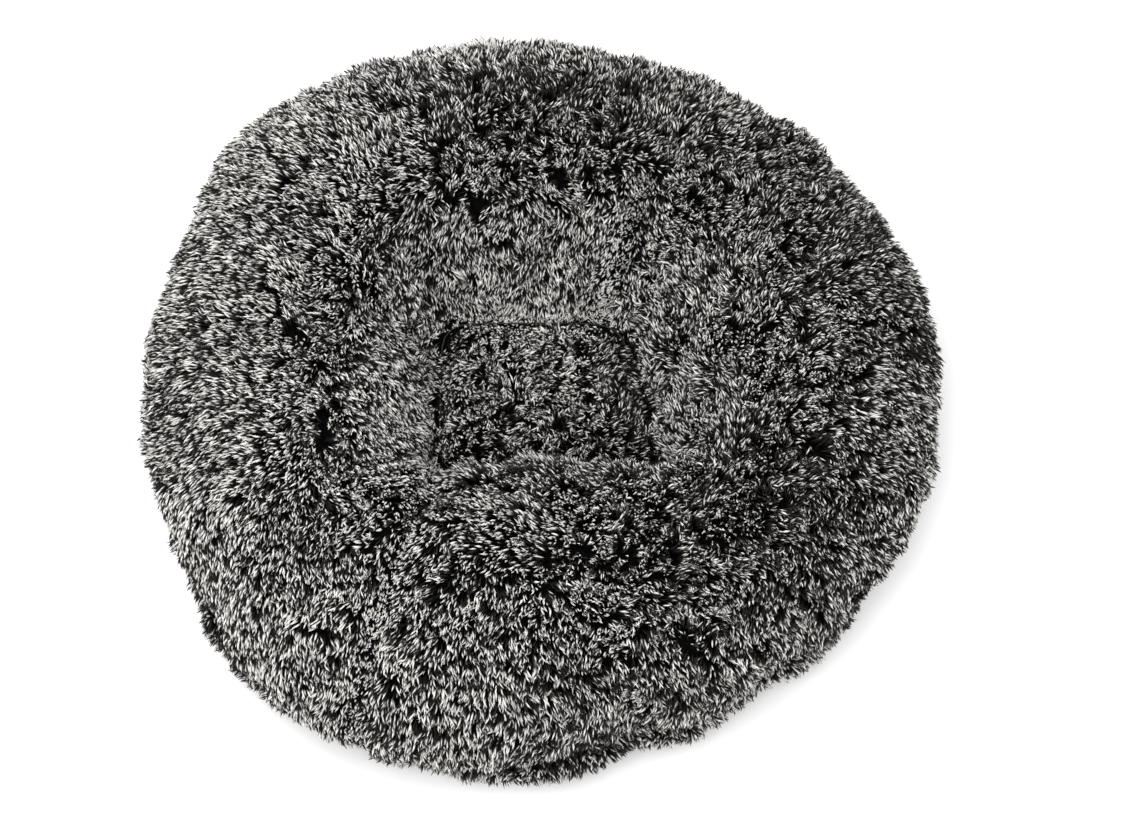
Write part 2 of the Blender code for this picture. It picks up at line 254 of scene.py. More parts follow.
# The two long folds, where the pile lies flat along the fold: start, end, direction of the tips
FOLDS = (
    ((0.044, 0.088), (0.071, 0.132), (-0.6, -1.0)),
    ((0.071, 0.132), (0.090, 0.175), (-0.4, -1.0)),
    ((-0.073, -0.117), (-0.106, -0.174), (-0.55, -1.0)),
    ((-0.106, -0.174), (-0.129, -0.229), (-0.42, -1.0)),
    ((-0.129, -0.229), (-0.146, -0.300), (-0.25, -1.0)),
)


def falloff(distance, reach):
    return np.exp(-((distance / reach) ** 2))


def spot(plan, place, reach):
    return np.exp(-(((plan - np.array(place)) ** 2).sum(1)) / reach**2)


def outline_radius(angle):
    lobes = LOBE * np.cos(3 * angle - 0.2) + WAVE * np.cos(4 * angle + 2.2)
    return OUTLINE_RADIUS * (1 + lobes)


def outline_middle():
    angle = np.linspace(0, 2 * np.pi, 720, endpoint=False)
    x, y = outline_radius(angle) * np.cos(angle), outline_radius(angle) * np.sin(angle)
    return np.array([(x.max() + x.min()) / 2, (y.max() + y.min()) / 2])


MIDDLE = outline_middle()


def outline_plan(angle, inset=0.0):
    radius = outline_radius(angle) - inset
    return np.stack([radius * np.cos(angle), radius * np.sin(angle)], -1) - MIDDLE


def square_plan(angle, outset=0.0):
    c, s = np.cos(angle), np.sin(angle)
    reach = (np.abs(c) ** SQUARE_ROUNDING + np.abs(s) ** SQUARE_ROUNDING) ** (-1 / SQUARE_ROUNDING)
    x, y = (SQUARE_HALF_WIDTH + outset) * reach * c, (SQUARE_HALF_DEPTH + outset) * reach * s
    return np.stack([x - SQUARE_SLANT * y * (1 + x / SQUARE_HALF_WIDTH), y], -1) + SQUARE_CENTRE


def crease_depth(plan):
    depth = np.zeros(plan.shape[:-1])
    for start, end, deepest, width in CREASES:
        start, along = np.array(start), np.array(end) - np.array(start)
        share = np.clip(((plan - start) * along).sum(-1) / (along**2).sum(), 0, 1)
        away = np.linalg.norm(plan - start - share[..., None] * along, axis=-1)
        depth += deepest * (1 - share) ** 1.2 * falloff(away, width)
    return depth


def ring_top(angle, share, inset):
    """The ring's upper surface, from the quilting (share 0) over the ridge to the seam (1)."""
    ridge = RIDGE_HEIGHT * (1 + 0.022 * np.cos(angle - 4.0) + 0.016 * np.cos(3 * angle + 0.6)) - inset
    inner, outer = square_plan(angle, inset), outline_plan(angle, inset)
    first = share < 0.5
    turn = np.where(first, share, share - 0.5) * np.pi
    near = (0.5 - 0.5 * np.sin(angle)) ** 2
    steep = STEEP_FAR + (STEEP_NEAR - STEEP_FAR) * near
    wall = RIDGE_PLACE * (steep * (1 - np.cos(turn)) + (1 - steep) * turn * 2 / np.pi)
    across = np.where(
        first,
        wall - (OVERHANG * near + BULGE * near**4) * np.sin(2 * turn),
        RIDGE_PLACE + (1 - RIDGE_PLACE) * np.sin(turn),
    )
    low = SQUARE_SEAM_HEIGHT - 0.4 * inset
    height = np.where(
        first, low + (ridge - low) * np.sin(turn), SEAM_HEIGHT + (ridge - SEAM_HEIGHT) * np.cos(turn)
    )
    plan = inner + (outer - inner) * across[..., None]
    rise = (height - low) / (ridge - low)
    height = height - np.where(across < 0.95, crease_depth(plan) * np.clip(rise * 2, 0, 1), 0)
    return np.concatenate([plan, height[..., None]], -1)


def pad_top(angle, share, inset):
    edge = square_plan(angle, inset * 0.2)
    plan = SQUARE_CENTRE + (edge - SQUARE_CENTRE) * share[..., None]
    height = SQUARE_SEAM_HEIGHT - 0.4 * inset + (PAD_RISE - 0.6 * inset) * (1 - share**4)
    return np.concatenate([plan, height[..., None]], -1)


def band_side(angle, share, inset):
    turn = share * np.pi / 2
    outer, inner = outline_plan(angle, inset), outline_plan(angle) * BASE_RADIUS_SHARE
    plan = inner + (outer - inner) * np.cos(turn)[..., None]
    low = BASE_FABRIC + 0.004
    height = SEAM_HEIGHT - (SEAM_HEIGHT - low) * np.sin(turn)
    return np.concatenate([plan, height[..., None]], -1)


def pinched(points):
    """Draws the casing in along the perimeter seam."""
    pull = (SEAM_PINCH + 0.001) * falloff(points[..., 2] - SEAM_HEIGHT, SEAM_PINCH_HEIGHT)
    length = np.linalg.norm(points[..., :2], axis=-1)
    pull = np.where(length > 0.25, pull, 0)
    out = points.copy()
    out[..., :2] -= points[..., :2] / np.maximum(length, 1e-6)[..., None] * pull[..., None]
    return out


def line_away(plan, start, end):
    """Plan distance to a line, and the direction away from it."""
    start, along = np.array(start), np.array(end) - np.array(start)
    share = np.clip(((plan - start) * along).sum(-1) / (along**2).sum(), 0, 1)
    away = plan - start - share[..., None] * along
    distance = np.linalg.norm(away, axis=-1)
    return distance, away / np.maximum(distance, 1e-6)[..., None]


def casing_grid(inset):
    """Rows of points from the middle of the pad, over the ring and down to the base seam."""
    angle = np.linspace(0, 2 * np.pi, COLUMNS, endpoint=False)
    rows = []
    for i in range(PAD_ROWS):
        share = np.full(COLUMNS, (i + 0.5) / PAD_ROWS)
        rows.append(pad_top(angle, share, BACKING_DEPTH))
    for i in range(RING_ROWS):
        share = np.full(COLUMNS, (i + 0.5) / RING_ROWS)
        rows.append(pinched(ring_top(angle, share, inset)))
    for i in range(BAND_ROWS + 1):
        share = np.full(COLUMNS, (i + 0.2) / (BAND_ROWS + 0.2))
        rows.append(pinched(band_side(angle, share, inset)))
    return np.array(rows)


def grid_normals(grid):
    across = np.gradient(grid, axis=0)
    wrapped = np.concatenate([grid[:, -1:], grid, grid[:, :1]], 1)
    round_ = (wrapped[:, 2:] - wrapped[:, :-2]) / 2
    normal = np.cross(across, round_)
    normal /= np.maximum(np.linalg.norm(normal, axis=-1), 1e-9)[..., None]
    return normal if normal[PAD_ROWS // 2, 0, 2] > 0 else -normal


def grid_at(grid, row, column):
    """Values of a grid at fractional rows and columns; columns wrap round."""
    row = np.clip(row, 0, len(grid) - 1.001)
    r0, c0 = np.floor(row).astype(int), np.floor(column).astype(int)
    fr, fc = (row - r0)[:, None], (column - c0)[:, None]
    c0, c1 = c0 % COLUMNS, (c0 + 1) % COLUMNS
    near = grid[r0, c0] * (1 - fc) + grid[r0, c1] * fc
    far = grid[r0 + 1, c0] * (1 - fc) + grid[r0 + 1, c1] * fc
    return near * (1 - fr) + far * fr


def lumpy(grid):
    """The casing over its uneven fibre filling."""
    normals = grid_normals(grid)
    points = grid.reshape(-1, 3)
    large, small = LUMP_SIZES
    lump = smooth_noise(points, large, 11)[:, 0] + 0.5 * smooth_noise(points, small, 12)[:, 0]
    lump = lump.reshape(grid.shape[:2]) * LUMP * 2
    lump[:PAD_ROWS] *= np.linspace(1, 0.3, PAD_ROWS)[:, None]
    lump *= np.clip(grid[..., 2] / 0.03, 0, 1)
    return grid + normals * lump[..., None]


def spread_out(shift, shape):
    """The net's moves, carried over to the casing's full grid and smoothed between its points."""
    at_rows = np.arange(shape[0]) / SIM_ROW_STEP
    at_columns = np.arange(shape[1]) / SIM_COLUMN_STEP
    closed = np.concatenate([shift, shift[:, :1]], 1)
    row = np.minimum(at_rows.astype(int), shift.shape[0] - 2)
    column = at_columns.astype(int)
    down = (at_rows - row)[:, None, None]
    across = (at_columns - column)[None, :, None]
    down, across = (3 - 2 * down) * down**2, (3 - 2 * across) * across**2
    first = closed[row][:, column] * (1 - across) + closed[row][:, column + 1] * across
    second = closed[row + 1][:, column] * (1 - across) + closed[row + 1][:, column + 1] * across
    out = first * (1 - down) + second * down
    for _ in range(SIM_COLUMN_STEP):
        out = (np.roll(out, 1, 1) + 2 * out + np.roll(out, -1, 1)) / 4
    return out


def wall_quads(first, second):
    """Quads between two stacks of rows of point numbers; the rows close round."""
    quads = np.stack([first, second, np.roll(second, -1, 1), np.roll(first, -1, 1)], -1)
    return quads.reshape(-1, 4).tolist()


def settled(fine):
    """The casing after a cloth simulation: its fibre presses outwards, and its seams hold it in.

    A coarse net of the casing is simulated. It wrinkles less than the full grid would, so small
    differences in the solver's sums hardly change the result.
    """
    grid = fine[::SIM_ROW_STEP, ::SIM_COLUMN_STEP]
    rows, columns = grid.shape[:2]
    middle = grid[-1].mean(0)
    steps = SIM_CLOSING_RINGS + 1
    inner = [grid[-1] + (middle - grid[-1]) * k / steps for k in range(1, steps)]
    whole = np.concatenate([grid, np.array(inner)])
    count = len(whole)
    index = np.arange(count * columns).reshape(count, columns)
    mesh = bpy.data.meshes.new("casing_rest")
    ends = [index[0].tolist(), index[-1, ::-1].tolist()]
    mesh.from_pydata(whole.reshape(-1, 3).tolist(), [], wall_quads(index[:-1], index[1:]) + ends)
    bag = bpy.data.objects.new("casing_rest", mesh)
    bpy.context.scene.collection.objects.link(bag)
    hold = np.zeros(count)
    hold[: PAD_ROWS // SIM_ROW_STEP + 1] = 1
    hold[rows - 2 :] = 1
    hold[SEAM_ROW // SIM_ROW_STEP] = SEAM_HOLD
    group = bag.vertex_groups.new(name="seams")
    for row, weight in enumerate(hold):
        if weight:
            group.add([int(i) for i in index[row]], float(weight), "REPLACE")
    cloth = bag.modifiers.new("cloth", "CLOTH")
    cloth.settings.quality = 4
    cloth.settings.mass = 0.25
    cloth.settings.tension_stiffness = cloth.settings.compression_stiffness = 12
    cloth.settings.bending_stiffness = 0.4
    cloth.settings.use_pressure = True
    cloth.settings.uniform_pressure_force = 3.5
    cloth.settings.shrink_min = -0.06
    cloth.settings.vertex_group_mass = "seams"
    cloth.settings.effector_weights.gravity = 0
    cloth.collision_settings.use_collision = False
    cloth.point_cache.frame_end = SIM_FRAMES
    for step in range(1, SIM_FRAMES + 1):
        bpy.context.scene.frame_set(step)
    depsgraph = bpy.context.evaluated_depsgraph_get()
    moved = bag.evaluated_get(depsgraph).data
    co = np.zeros(count * columns * 3, np.float32)
    moved.vertices.foreach_get("co", co)
    co = co.reshape(count, columns, 3)[:rows].astype(float)
    bpy.context.scene.frame_set(1)
    bpy.data.objects.remove(bag)
    shift = co - grid
    size = np.linalg.norm(shift, axis=-1)
    shift = shift * np.minimum(1, SIM_CAP / np.maximum(size, 1e-9))[..., None]
    return fine + spread_out(shift, fine.shape)


def lock_places(grid, first, last):
    """Evenly spread, jittered places for locks between two rows of the casing, as (row, column)."""
    steps = np.linalg.norm(np.diff(grid, axis=0), axis=-1).mean(1)
    along = np.concatenate([[0], np.cumsum(steps)])
    round_ = np.linalg.norm(np.roll(grid, -1, 1) - grid, axis=-1).sum(1)
    places = []
    count = max(1, int((along[last] - along[first]) / LOCK_SPACING))
    for i in range(count):
        distance = along[first] + (i + 0.5) * (along[last] - along[first]) / count
        row = np.interp(distance, along, np.arange(len(along)))
        number = max(3, int(np.interp(row, np.arange(len(round_)), round_) / LOCK_SPACING))
        column = (np.arange(number) + RANDOM.random()) * COLUMNS / number
        step = steps[min(int(row), len(steps) - 1)]
        rows = row + (RANDOM.random(number) - 0.5) * 0.9 * LOCK_SPACING / step
        column = column + (RANDOM.random(number) - 0.5) * 0.9 * COLUMNS / number
        places.append(np.stack([np.clip(rows, first, last), column], -1))
    return np.concatenate(places)


def smooth_noise(points, scale, seed):
    """Three smooth random values at each point, alike within about one scale."""
    shift = Vector((seed * 7.3, seed * 3.1, seed * 5.7))
    turned = (points[:, :, None] * TURNED).sum(1) / scale
    return np.array([noise.noise_vector(Vector(p) + shift) for p in turned])


def swirl(points, normal, scale, seed):
    """Smooth noise directions along the surface that turn but never part or meet."""
    here = smooth_noise(points, scale, seed)[:, 0]
    step = 0.1 * scale
    ahead = [smooth_noise(points + step * axis, scale, seed)[:, 0] for axis in np.eye(3)]
    slope = np.stack([value - here for value in ahead], -1)
    turned = np.cross(normal, slope)
    return turned / turned.std()


def combed(points):
    """How the pile lies at each point: its plan direction, how upright it stands, how far it opens,
    how far it belongs to a fold, and its tone."""
    plan = points[:, :2]
    total = np.zeros((len(points), 2))
    upright, weights = np.full(len(points), 0.02), np.full(len(points), 0.05)
    for place, direction, reach, stand in STROKES:
        weight = spot(plan, place, reach)
        total += weight[:, None] * np.array(direction)
        upright += weight * stand
        weights += weight
    direction, upright = total / weights[:, None], upright / weights

    openness = np.zeros(len(points))
    wavy = plan + smooth_noise(points, WAVER_SIZE, 5)[:, :2] * WAVER
    for start, end, width in PARTINGS_AND_PAINTED_SHADE:
        distance, away = line_away(wavy, start, end)
        near = falloff(distance, width * 1.5)
        direction = direction * (1 - 0.6 * near)[:, None] + away * near[:, None] * 0.6
        upright *= 1 - 0.5 * near
        openness = np.maximum(openness, falloff(distance, width))
    # Noise breaks the partings up, and opens small ones all over
    openness *= np.clip(0.70 + 1.6 * smooth_noise(points, 0.007, 8)[:, 0], 0.1, 1)
    patchy = smooth_noise(points, 0.013, 6)[:, 0] + 0.6 * smooth_noise(points, 0.006, 7)[:, 0]
    openness = np.maximum(openness, np.clip((patchy - 0.40 + 0.10 * upright) * 1.8, 0, 0.65))

    fold = np.zeros(len(points))
    for start, end, run in FOLDS:
        distance, _ = line_away(wavy * 0.4 + plan * 0.6, start, end)
        near = falloff(distance, FOLD_REACH)
        direction = direction * (1 - near)[:, None] + np.array(run) * near[:, None]
        upright -= (upright + 0.15) * near
        fold = np.maximum(fold, falloff(distance, FOLD_CORE))

    # Pile tones by place, with painted light and shade among them
    tone = np.zeros(len(points))
    for place, reach, amount in PILE_TONES_AND_PAINTED_LIGHT:
        tone += amount * spot(wavy, place, reach)
    return direction, upright, openness, fold, tone


def square_edge(plan):
    """Signed plan distance from the sewn square's edge, positive outside, and how much the place
    belongs to its far side, 0 to 1."""
    x, y = (plan - SQUARE_CENTRE).T
    x = x + SQUARE_SLANT * y * (1 + x / SQUARE_HALF_WIDTH)
    across, up = np.abs(x / SQUARE_HALF_WIDTH), np.abs(y / SQUARE_HALF_DEPTH)
    size = across**SQUARE_ROUNDING + up**SQUARE_ROUNDING
    distance = (size ** (1 / SQUARE_ROUNDING) - 1) * SQUARE_HALF_DEPTH
    far = np.clip(y / SQUARE_HALF_DEPTH, 0, 1) ** 2 * np.clip(1.05 - across**6, 0, 1)
    return distance, far


def unit(vectors):
    return vectors / np.maximum(np.linalg.norm(vectors, axis=-1), 1e-9)[..., None]


def per_strand(values):
    return np.repeat(values, STRANDS_PER_LOCK, axis=0)


def without_normal(vectors, normal):
    return vectors - (vectors * normal).sum(1)[:, None] * normal


def stray_locks(root, outside):
    """How much each lock belongs to a stray one that stands out from the perimeter seam."""
    stray = np.zeros(len(root))
    around = np.arctan2(root[:, 1], root[:, 0])
    over_seam = root[:, 2] - SEAM_HEIGHT
    for angle in TUFT_ANGLES:
        turn = np.abs((around - angle + np.pi) % (2 * np.pi) - np.pi)
        near = falloff(turn, TUFT_TURN) * falloff(over_seam + 0.004, TUFT_HEIGHT)
        stray = np.maximum(stray, near * outside)
    return stray


def tuft_pull(root):
    """From each lock's root to the root of the nearest lock that leads a tuft."""
    leaders = np.nonzero(RANDOM.random(len(root)) < TUFT_SHARE)[0]
    tree = kdtree.KDTree(len(leaders))
    for i, leader in enumerate(leaders):
        tree.insert(Vector(root[leader]), i)
    tree.balance()
    return root[leaders[np.array([tree.find(Vector(p))[1] for p in root])]] - root


def pile(grid, rest, first, last, extra_upright=0.0):
    """Strand arrays for the pile between two rows: points along the strands, the directions across
    them, their shade and their place on the grid. The locks are spread by the resting grid."""
    places = lock_places(rest, first, last)
    normals = grid_normals(grid)
    root = grid_at(grid, places[:, 0], places[:, 1])

    # Bare stitching round the square, and pile that leans over it
    edge, far = square_edge(root[:, :2])
    outer = edge > GAP_OUTSIDE[0] + GAP_OUTSIDE[1] * far
    inner = edge < -GAP_INSIDE[0] - GAP_INSIDE[1] * far
    kept = outer | inner
    places, root, edge, far = places[kept], root[kept], edge[kept], far[kept]
    at_square = falloff(edge, EDGE_REACH) * (edge < 0)
    over_line = falloff(edge, LEAN_REACH) * (edge > 0) * (0.2 + 0.8 * far)
    normal = unit(grid_at(normals, places[:, 0], places[:, 1]))
    direction, upright, openness, fold, tone = combed(root)
    leaning = falloff(edge, LEAN_REACH) * (edge < 0) * (0.15 + 0.85 * far)
    inward = unit(SQUARE_CENTRE - root[:, :2])
    direction = direction * (1 - leaning)[:, None] + inward * leaning[:, None]
    upright = upright - (upright + 0.2) * leaning

    # Stray locks, and shorter pile along the perimeter seam, painted darker there as shade in its
    # groove
    outside = np.linalg.norm(root[:, :2], axis=1) > OUTER_REACH
    stray = stray_locks(root, outside)
    over_seam = root[:, 2] - SEAM_HEIGHT
    at_seam = falloff(over_seam, np.where(over_seam > 0, OVER_SEAM, UNDER_SEAM)) * outside
    upright = upright + 0.9 * stray + 0.25 * at_seam + extra_upright

    # The lie of each lock: combed, with a wander that grows where the pile stands up
    loose = 0.25 + 1.3 * upright[:, None]
    (wide, strong), (fine, faint) = WIDE_SWIRL, FINE_SWIRL
    wander = (swirl(root, normal, wide, 1) * strong + swirl(root, normal, fine, 2) * faint) * loose
    wander += smooth_noise(root, 0.012, 9) * 0.35 * loose
    flat = np.concatenate([direction, np.full((len(root), 1), -0.12)], 1)
    lay = unit(without_normal(flat + wander, normal))
    side = np.cross(normal, lay)
    lift = smooth_noise(root, 0.02, 3)[:, 0]
    gather = without_normal(tuft_pull(root) * (0.40 + 0.25 * upright[:, None]), normal)

    # Each strand's own start, turn, length and bend
    total = len(root) * STRANDS_PER_LOCK
    spin = RANDOM.random(total) * 2 * np.pi
    spread = (0.35 + 0.65 * RANDOM.random(total)) * LOCK_SPACING * 0.55
    lay, side, normal = per_strand(lay), per_strand(side), per_strand(normal)
    offset = lay * (np.cos(spin) * spread)[:, None] + side * (np.sin(spin) * spread)[:, None]
    turn = RANDOM.normal(0, 0.22, total)
    direction = lay * np.cos(turn)[:, None] + side * np.sin(turn)[:, None]
    curl = RANDOM.normal(0, 0.0011, total)
    length = STRAND_LENGTH * (0.80 + 0.35 * RANDOM.random(total)) * per_strand(1 + 0.12 * lift)
    shorter = (1 - 0.65 * at_seam) * (1 - 0.55 * fold) * (1 - 0.25 * openness) * (1 + 0.6 * stray)
    length *= per_strand(shorter)
    length *= per_strand(1 - 0.50 * at_square - 0.78 * over_line)
    risen, stood = per_strand(lift), per_strand(upright)
    start = ROOT_ANGLE + RANDOM.normal(0, 0.12, total) + risen * 0.25 + stood * 0.30
    end = TIP_ANGLE + RANDOM.normal(0, 0.16, total) + risen * 0.45 + stood * 0.75
    bend = np.where(np.abs(end - start) < 0.05, 0.05, end - start)
    floor_gap = FLOOR_GAP + FLOOR_SPREAD * RANDOM.random(total)

    points, ups = [], []
    for share in STRAND_PLACES:
        angle = start + bend * share
        height = length * (np.cos(start) - np.cos(angle)) / bend
        ahead = length * (np.sin(angle) - np.sin(start)) / bend
        point = per_strand(root) + normal * (height - ROOT_SINK)[:, None]
        point = point + direction * ahead[:, None]
        point += offset * (1 - 0.75 * share) + per_strand(gather) * share**1.5
        point += side * (curl * np.sin(share * 3.0) * 1.5)[:, None]
        point[:, 2] = np.maximum(point[:, 2], floor_gap)
        points.append(point)
        ups.append(unit(normal * np.cos(angle)[:, None] - direction * np.sin(angle)[:, None]))

    # Painted shade in the perimeter seam's groove; upright and parted pile shows more of its dark roots
    tone += 0.20 - 0.32 * upright + lift * 0.12 - openness * 0.35 - at_seam * 0.45
    # The band's pile painted lighter on the right and darker on the left, as light falls
    tone += extra_upright * np.clip(0.05 + root[:, 0] / 0.6, -0.25, 0.30)
    # Painted shadow inside the square's stitching, under the pile that leans over it; stray locks are
    # darker
    tone -= 0.35 * at_square + 0.4 * stray
    even = 1 - 0.85 * per_strand(fold)  # the folds' pile is smooth and even
    shade = SHADE + SHADE_SPREAD * RANDOM.normal(0, 1, total) * even + per_strand(tone)
    dark = RANDOM.random(total) < DARK_SHARE * even
    shade = np.where(dark, DARK_SHADE, shade).clip(0.01, 0.99)
    across = unit(np.cross(normal, direction))
    return np.array(points), np.array(ups), across, shade, per_strand(places)


def add_piece(name, mesh, material, node):
    """Puts a mesh in the scene as a piece that stands for a CAD node."""
    made = bpy.data.objects.new(name, mesh)
    bpy.context.scene.collection.objects.link(made)
    made.data.materials.append(material)
    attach(made, "root")
    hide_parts(node)
    return made


def add_strands(name, strands, material, pieces, node):
    """Builds the strands' meshes, split round the cushion into pieces."""
    points, ups, sides, shade, places = strands
    sector = (places[:, 1] % COLUMNS) / COLUMNS * pieces
    for p in range(pieces):
        keep = np.nonzero((sector >= p) & (sector < p + 1))[0]
        piece = f"{name}_{p + 1:02d}"
        mesh = strand_mesh(piece, points[:, keep], ups[:, keep], sides[keep], shade[keep])
        add_piece(piece, mesh, material, node)


def strand_mesh(name, places, ups, sides, shade):
    """Closed three-sided spindles: a root point, two rings and a tip point for each strand."""
    count = places.shape[1]
    width = STRAND_WIDTH * (0.8 + 0.5 * RANDOM.random(count)) / 2
    points = np.zeros((count, STRAND_POINTS, 3))
    points[:, 0], points[:, -1] = places[0], places[3]
    for ring in (0, 1):
        for corner in range(3):
            phi = 2 * np.pi * corner / 3 + np.pi / 2
            out = sides * np.cos(phi) + ups[ring + 1] * np.sin(phi)
            reach = out * (width * RING_WIDTHS[ring])[:, None]
            points[:, 1 + ring * 3 + corner] = places[ring + 1] + reach
    faces = []
    for c in range(3):
        d = (c + 1) % 3
        faces += [(0, 1 + c, 1 + d), (1 + c, 4 + d, 1 + d), (1 + c, 4 + c, 4 + d), (4 + c, 7, 4 + d)]
    first = np.arange(count) * STRAND_POINTS
    corners = (np.array(faces)[None] + first[:, None, None]).reshape(-1)
    mesh = bpy.data.meshes.new(name)
    mesh.vertices.add(count * STRAND_POINTS)
    mesh.vertices.foreach_set("co", points.astype(np.float32).reshape(-1))
    mesh.loops.add(len(corners))
    mesh.loops.foreach_set("vertex_index", corners.astype(np.int32))
    mesh.polygons.add(len(corners) // 3)
    mesh.polygons.foreach_set("loop_start", np.arange(0, len(corners), 3, dtype=np.int32))
    mesh.polygons.foreach_set("use_smooth", np.ones(len(corners) // 3, bool))
    mesh.update(calc_edges=True)
    # The material reads the strand's shade from u and the place along it from v
    column = (np.floor(shade * SHADES) + 0.5) / SHADES
    along = np.array([0, *[STRAND_PLACES[1]] * 3, *[STRAND_PLACES[2]] * 3, 1])
    layer = mesh.uv_layers.new(name="OFBake")
    u = np.repeat(column[:, None], STRAND_POINTS, 1).reshape(-1)[corners]
    v = 0.004 + 0.992 * np.tile(along, count)[corners]
    layer.data.foreach_set("uv", np.stack([u, v], -1).astype(np.float32).reshape(-1))
    mesh.validate()
    return mesh


# Materials


def new_material(name, roughness):
    material = bpy.data.materials.new(name)
    material.use_nodes = True
    shader = material.node_tree.nodes["Principled BSDF"]
    shader.inputs["Roughness"].default_value = roughness
    return material, material.node_tree, shader


def ramp(tree, stops):
    node = tree.nodes.new("ShaderNodeValToRGB")
    elements = node.color_ramp.elements
    while len(elements) < len(stops):
        elements.new(0.5)
    for element, (place, colour) in zip(elements, stops):
        element.position = place
        element.color = (*colour, 1)
    return node


def maths(tree, operation, a, b=None, c=None, clamp=False):
    node = tree.nodes.new("ShaderNodeMath")
    node.operation, node.use_clamp = operation, clamp
    for socket, value in zip(node.inputs, (a, b, c)):
        if value is None:
            continue
        if isinstance(value, (int, float)):
            socket.default_value = value
        else:
            tree.links.new(value, socket)
    return node.outputs[0]


def pile_material():
    """Near-black roots that turn to silver towards the tip; the shade sets how soon and how bright."""
    material, tree, shader = new_material("tipped_pile", 0.62)
    shader.inputs["Specular IOR Level"].default_value = 0.12
    uv = tree.nodes.new("ShaderNodeUVMap")
    uv.uv_map = "OFBake"
    split = tree.nodes.new("ShaderNodeSeparateXYZ")
    tree.links.new(uv.outputs["UV"], split.inputs[0])
    shade, along = split.outputs[0], split.outputs[1]
    begin = maths(tree, "MULTIPLY_ADD", shade, -0.38, 0.93)
    tipped = maths(tree, "MULTIPLY", maths(tree, "SUBTRACT", along, begin), 7.0, clamp=True)
    root = ramp(
        tree,
        (
            (0.0, (0.002, 0.002, 0.002)),
            (0.5, (0.004, 0.004, 0.0038)),
            (0.9, (0.016, 0.014, 0.0125)),
        ),
    )
    tree.links.new(along, root.inputs[0])
    silver = ramp(
        tree,
        (
            (0.0, (0.01, 0.0095, 0.009)),
            (0.3, (0.22, 0.215, 0.206)),
            (0.6, (0.56, 0.55, 0.525)),
            (1.0, (0.84, 0.825, 0.795)),
        ),
    )
    tree.links.new(shade, silver.inputs[0])
    mix = tree.nodes.new("ShaderNodeMix")
    mix.data_type = "RGBA"
    tree.links.new(tipped, mix.inputs["Factor"])
    tree.links.new(root.outputs[0], mix.inputs["A"])
    tree.links.new(silver.outputs[0], mix.inputs["B"])
    tree.links.new(mix.outputs["Result"], shader.inputs["Base Color"])
    return material


def knit_material():
    """The black knitted backing that the pile grows from."""
    material, tree, shader = new_material("knit_backing", 0.95)
    shader.inputs["Specular IOR Level"].default_value = 0.02
    place = tree.nodes.new("ShaderNodeTexCoord")
    weave = tree.nodes.new("ShaderNodeTexVoronoi")
    weave.inputs["Scale"].default_value = 700
    tree.links.new(place.outputs["Object"], weave.inputs["Vector"])
    colour = ramp(tree, ((0.0, (0.006, 0.006, 0.006)), (0.7, (0.002, 0.002, 0.002))))
    tree.links.new(weave.outputs["Distance"], colour.inputs[0])
    tree.links.new(colour.outputs[0], shader.inputs["Base Color"])
    return material


def fabric_material(name, dark, light, scale, roughness, bump):
    """Yarns crossing over and under: two waves at right angles make the weave's colour and bump."""
    material, tree, shader = new_material(name, roughness)
    place = tree.nodes.new("ShaderNodeTexCoord")
    waves = []
    for direction in ("X", "Y"):
        wave = tree.nodes.new("ShaderNodeTexWave")
        wave.bands_direction = direction
        wave.inputs["Scale"].default_value = scale
        wave.inputs["Distortion"].default_value = 0.6
        tree.links.new(place.outputs["Object"], wave.inputs["Vector"])
        waves.append(wave.outputs["Fac"])
    woven = maths(tree, "MULTIPLY", waves[0], waves[1])
    patches = tree.nodes.new("ShaderNodeTexNoise")
    patches.inputs["Scale"].default_value = 14
    tree.links.new(place.outputs["Object"], patches.inputs["Vector"])
    half = maths(tree, "MULTIPLY", woven, 0.5)
    tone = maths(tree, "MULTIPLY_ADD", patches.outputs["Fac"], 0.5, half)
    colour = ramp(tree, ((0.15, dark), (0.75, light)))
    tree.links.new(tone, colour.inputs[0])
    tree.links.new(colour.outputs[0], shader.inputs["Base Color"])
    raised = tree.nodes.new("ShaderNodeBump")
    raised.inputs["Strength"].default_value = bump
    raised.inputs["Distance"].default_value = 0.0004
    tree.links.new(woven, raised.inputs["Height"])
    tree.links.new(raised.outputs[0], shader.inputs["Normal"])
    shader.inputs["Sheen Weight"].default_value = 0.25
    return material


def fibre_material():
    """Matted white polyester fibre."""
    material, tree, shader = new_material("polyester_fibre", 0.95)
    place = tree.nodes.new("ShaderNodeTexCoord")
    tangle = tree.nodes.new("ShaderNodeTexNoise")
    tangle.inputs["Scale"].default_value = 90
    tangle.inputs["Detail"].default_value = 6
    tangle.inputs["Distortion"].default_value = 2.5
    tree.links.new(place.outputs["Object"], tangle.inputs["Vector"])
    colour = ramp(tree, ((0.3, (0.55, 0.55, 0.54)), (0.7, (0.86, 0.86, 0.85))))
    tree.links.new(tangle.outputs["Fac"], colour.inputs[0])
    tree.links.new(colour.outputs[0], shader.inputs["Base Color"])
    raised = tree.nodes.new("ShaderNodeBump")
    raised.inputs["Strength"].default_value = 0.6
    raised.inputs["Distance"].default_value = 0.002
    tree.links.new(tangle.outputs["Fac"], raised.inputs["Height"])
    tree.links.new(raised.outputs[0], shader.inputs["Normal"])
    return material


